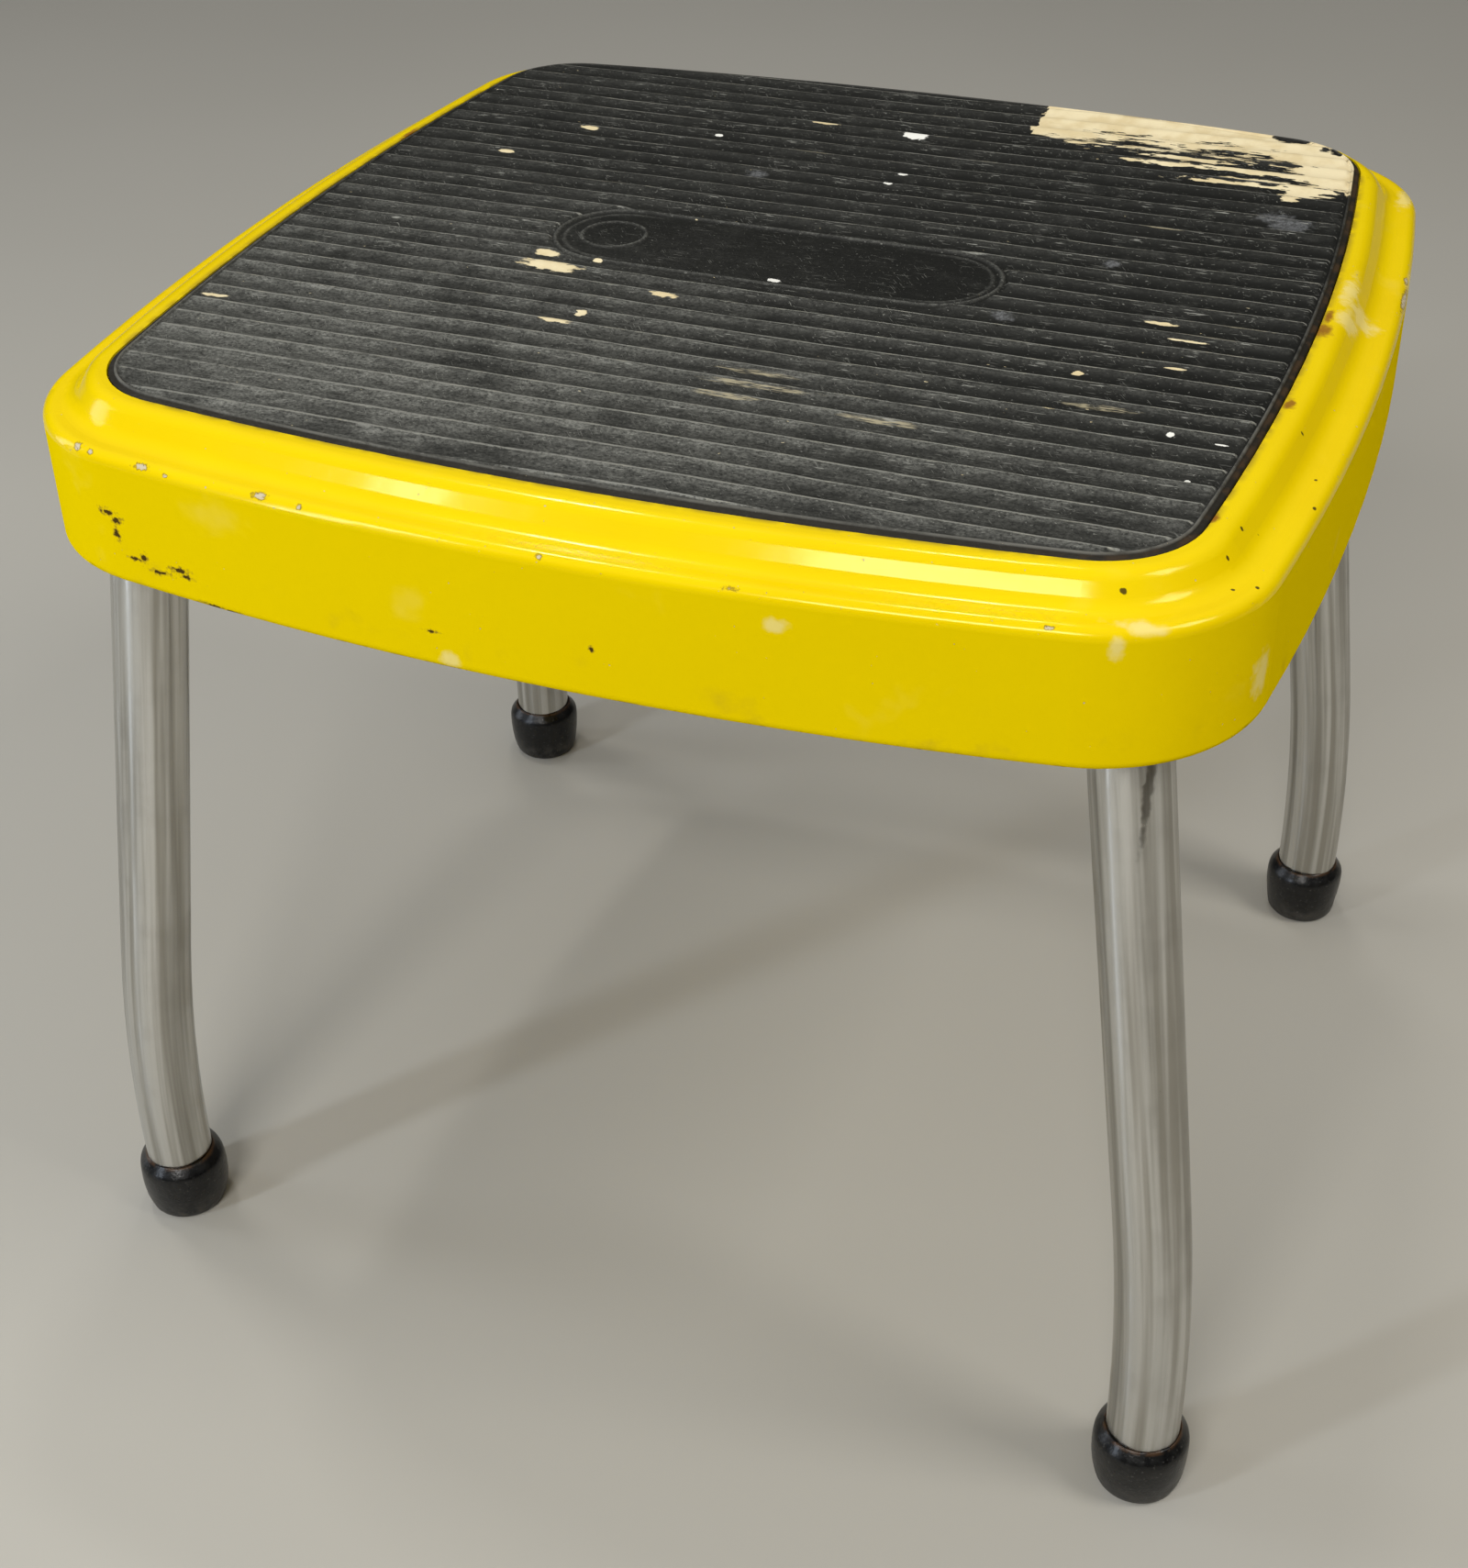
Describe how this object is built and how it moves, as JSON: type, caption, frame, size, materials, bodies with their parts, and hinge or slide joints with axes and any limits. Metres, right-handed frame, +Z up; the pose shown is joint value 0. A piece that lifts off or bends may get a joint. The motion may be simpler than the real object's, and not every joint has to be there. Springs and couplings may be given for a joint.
{
  "type": "step stool",
  "caption": "Low step stool: pressed steel step pan with a ribbed rubber tread, carried on bent steel tube leg frames with rubber tips.",
  "frame": {"origin": "on the floor, under the middle of the step", "axes": "+X along the tread's ribs, to the right seen from the front; +Y from front to back; +Z up"},
  "size_m": [0.3568, 0.3378, 0.3043],
  "materials": {
    "enamel": "glossy baked enamel, chipped at the edges",
    "tread_rubber": "worn, dusty black rubber",
    "chromed_tube": "dulled bright plating",
    "tip_rubber": "semi-gloss black rubber",
    "plain_steel": "zinc plated"
  },
  "bodies": {
    "root": {"top_pan": "enamel", "tread_mat": "tread_rubber", "leg_frame_left": "chromed_tube", "leg_frame_right": "chromed_tube", "foot_tip_front_left": "tip_rubber", "foot_tip_front_right": "tip_rubber", "foot_tip_rear_left": "tip_rubber", "foot_tip_rear_right": "tip_rubber", "tip_washers": "plain_steel", "leg_channel_left": "enamel", "leg_channel_right": "enamel", "deck_stiffener": "enamel", "weld_nuts": "plain_steel", "saddle_washers": "plain_steel", "lock_washers": "plain_steel", "frame_screws": "plain_steel"}
  },
  "joints": []
}
